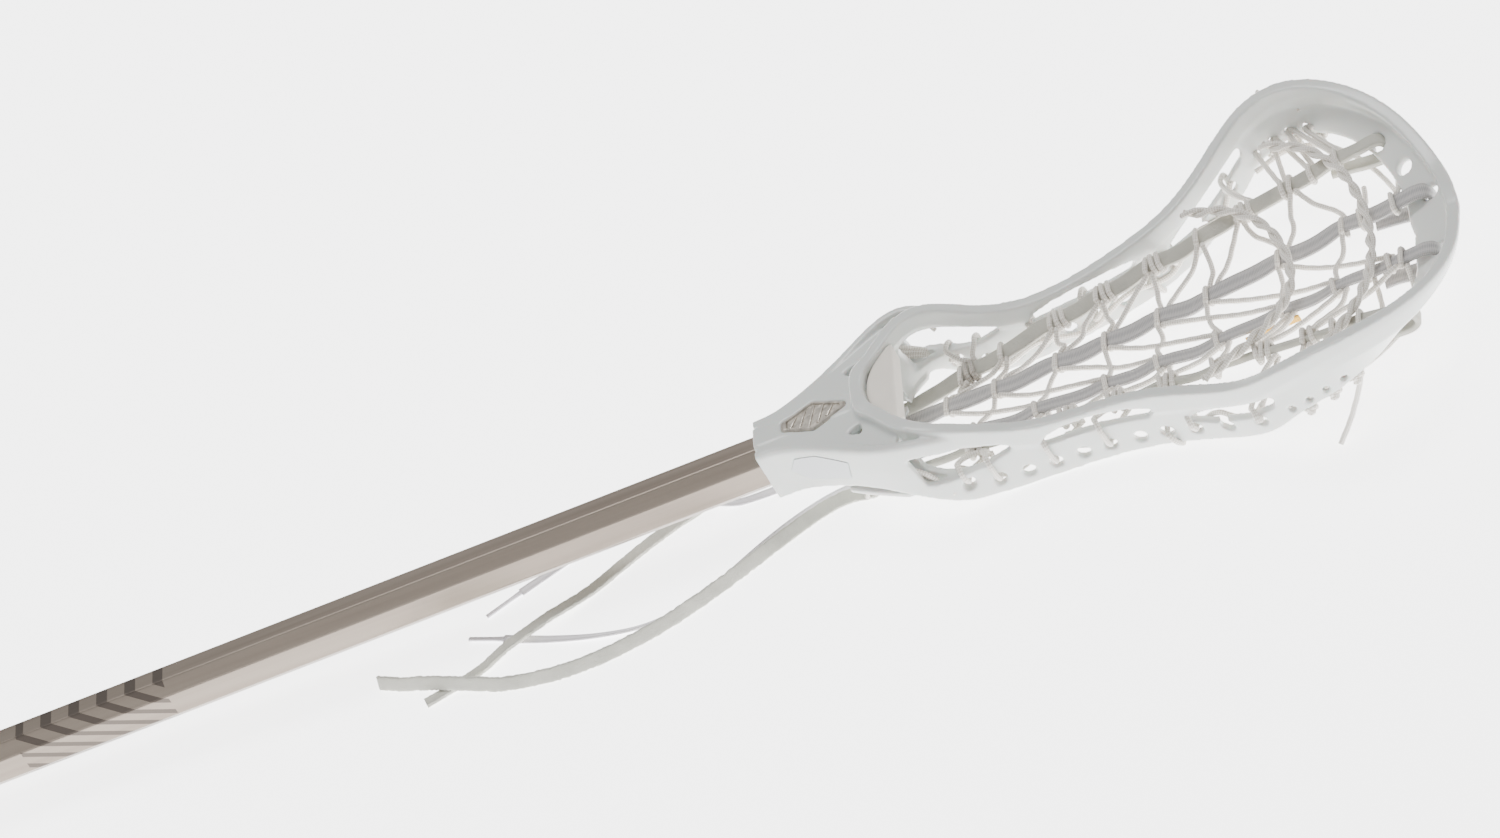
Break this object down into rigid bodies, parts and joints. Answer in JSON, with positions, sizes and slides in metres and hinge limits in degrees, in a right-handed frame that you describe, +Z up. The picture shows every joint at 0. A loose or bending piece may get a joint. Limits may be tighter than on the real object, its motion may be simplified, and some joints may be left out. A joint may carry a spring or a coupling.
{
  "type": "lacrosse stick",
  "caption": "Strung lacrosse stick for the women's game: moulded head with windowed side rails, thong and lace pocket, octagonal alloy shaft and rubber butt cap.",
  "frame": {"origin": "on the table, under the middle of the stick's length and width, loose ends left out", "axes": "+X along the stick towards the scoop, +Y to the left, +Z up out of the open face"},
  "size_m": [1.0856, 0.1916, 0.0571],
  "materials": {
    "shaft_metal": "satin anodised",
    "cap_rubber": "matte",
    "head_plastic": "gloss moulded",
    "inlay_plastic": "satin",
    "screw_steel": "satin",
    "badge_metal": "textured metallic",
    "foam": "matte foam",
    "leather": "soft tanned",
    "woven_lace": "woven",
    "flat_lace": "woven",
    "aglet_plastic": "clear film over lace",
    "nylon_cord": "braided nylon",
    "tag_fabric": "woven"
  },
  "bodies": {
    "stick": {"aglet_left": "aglet_plastic", "aglet_right": "aglet_plastic", "badge_insert": "badge_metal", "ball_stop_pad": "foam", "cross_lace_centre": "nylon_cord", "cross_lace_inner_left": "nylon_cord", "cross_lace_inner_right": "nylon_cord", "cross_lace_outer_left": "nylon_cord", "cross_lace_outer_right": "nylon_cord", "head_frame": "head_plastic", "lace_runner_left": "woven_lace", "lace_runner_right": "woven_lace", "lace_tail_left": "flat_lace", "lace_tail_right": "flat_lace", "pocket_tag": "tag_fabric", "scoop_lace": "nylon_cord", "scoop_lace_tail": "nylon_cord", "shaft": "shaft_metal", "shooting_string_lower": "nylon_cord", "shooting_string_upper": "nylon_cord", "sidewall_string_left": "nylon_cord", "sidewall_string_right": "nylon_cord", "thong_outer_left": "leather", "thong_outer_right": "leather", "thong_tail_left": "leather", "thong_tail_right": "leather", "throat_inlay_left": "inlay_plastic", "throat_inlay_right": "inlay_plastic", "throat_lace_left": "nylon_cord", "throat_lace_right": "nylon_cord"},
    "cap": {"end_cap": "cap_rubber"},
    "screw": {"head_screw": "screw_steel"}
  },
  "joints": [
    {"name": "cap_pull_off", "type": "slide", "parent": "stick", "child": "cap", "axis": [-0.9998, 0, -0.0216], "range_m": [0, 0.045]},
    {"name": "head_screw_slide", "type": "slide", "parent": "stick", "child": "screw", "axis": [0.0216, 0, -0.9998], "range_m": [0, 0.009]}
  ]
}
